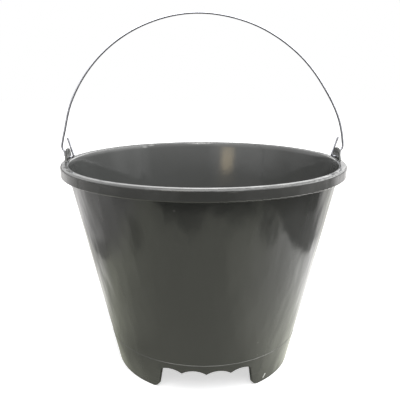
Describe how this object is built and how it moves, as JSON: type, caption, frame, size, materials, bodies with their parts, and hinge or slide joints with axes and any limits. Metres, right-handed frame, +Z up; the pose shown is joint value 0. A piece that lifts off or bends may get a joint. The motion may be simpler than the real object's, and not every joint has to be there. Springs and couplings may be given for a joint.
{
  "type": "builders bucket",
  "caption": "Tapered plastic builders bucket with a turned-down rim, a wire bail hooked through upright ears and a scalloped finger grip in the base skirt, for carrying and tipping.",
  "frame": {"origin": "centre of the foot ring, on the ground", "axes": "+Z up along the bucket's axis, X through the two ears, the finger grip facing -Y"},
  "size_m": [0.3196, 0.315, 0.3904],
  "materials": {
    "bucket_plastic": "dark olive-grey moulded polyethylene, semi-gloss, lightly scuffed",
    "bail_wire": "drawn steel wire, galvanised, dull bright"
  },
  "bodies": {
    "bucket": {"bucket_body": "bucket_plastic"},
    "bail": {"wire_bail": "bail_wire"}
  },
  "joints": [
    {"name": "bail_swing", "type": "hinge", "parent": "bucket", "child": "bail", "pos_m": [0, 0, 0.235], "axis": [1, 0, 0], "range_deg": [-90.5, 90.5]}
  ]
}
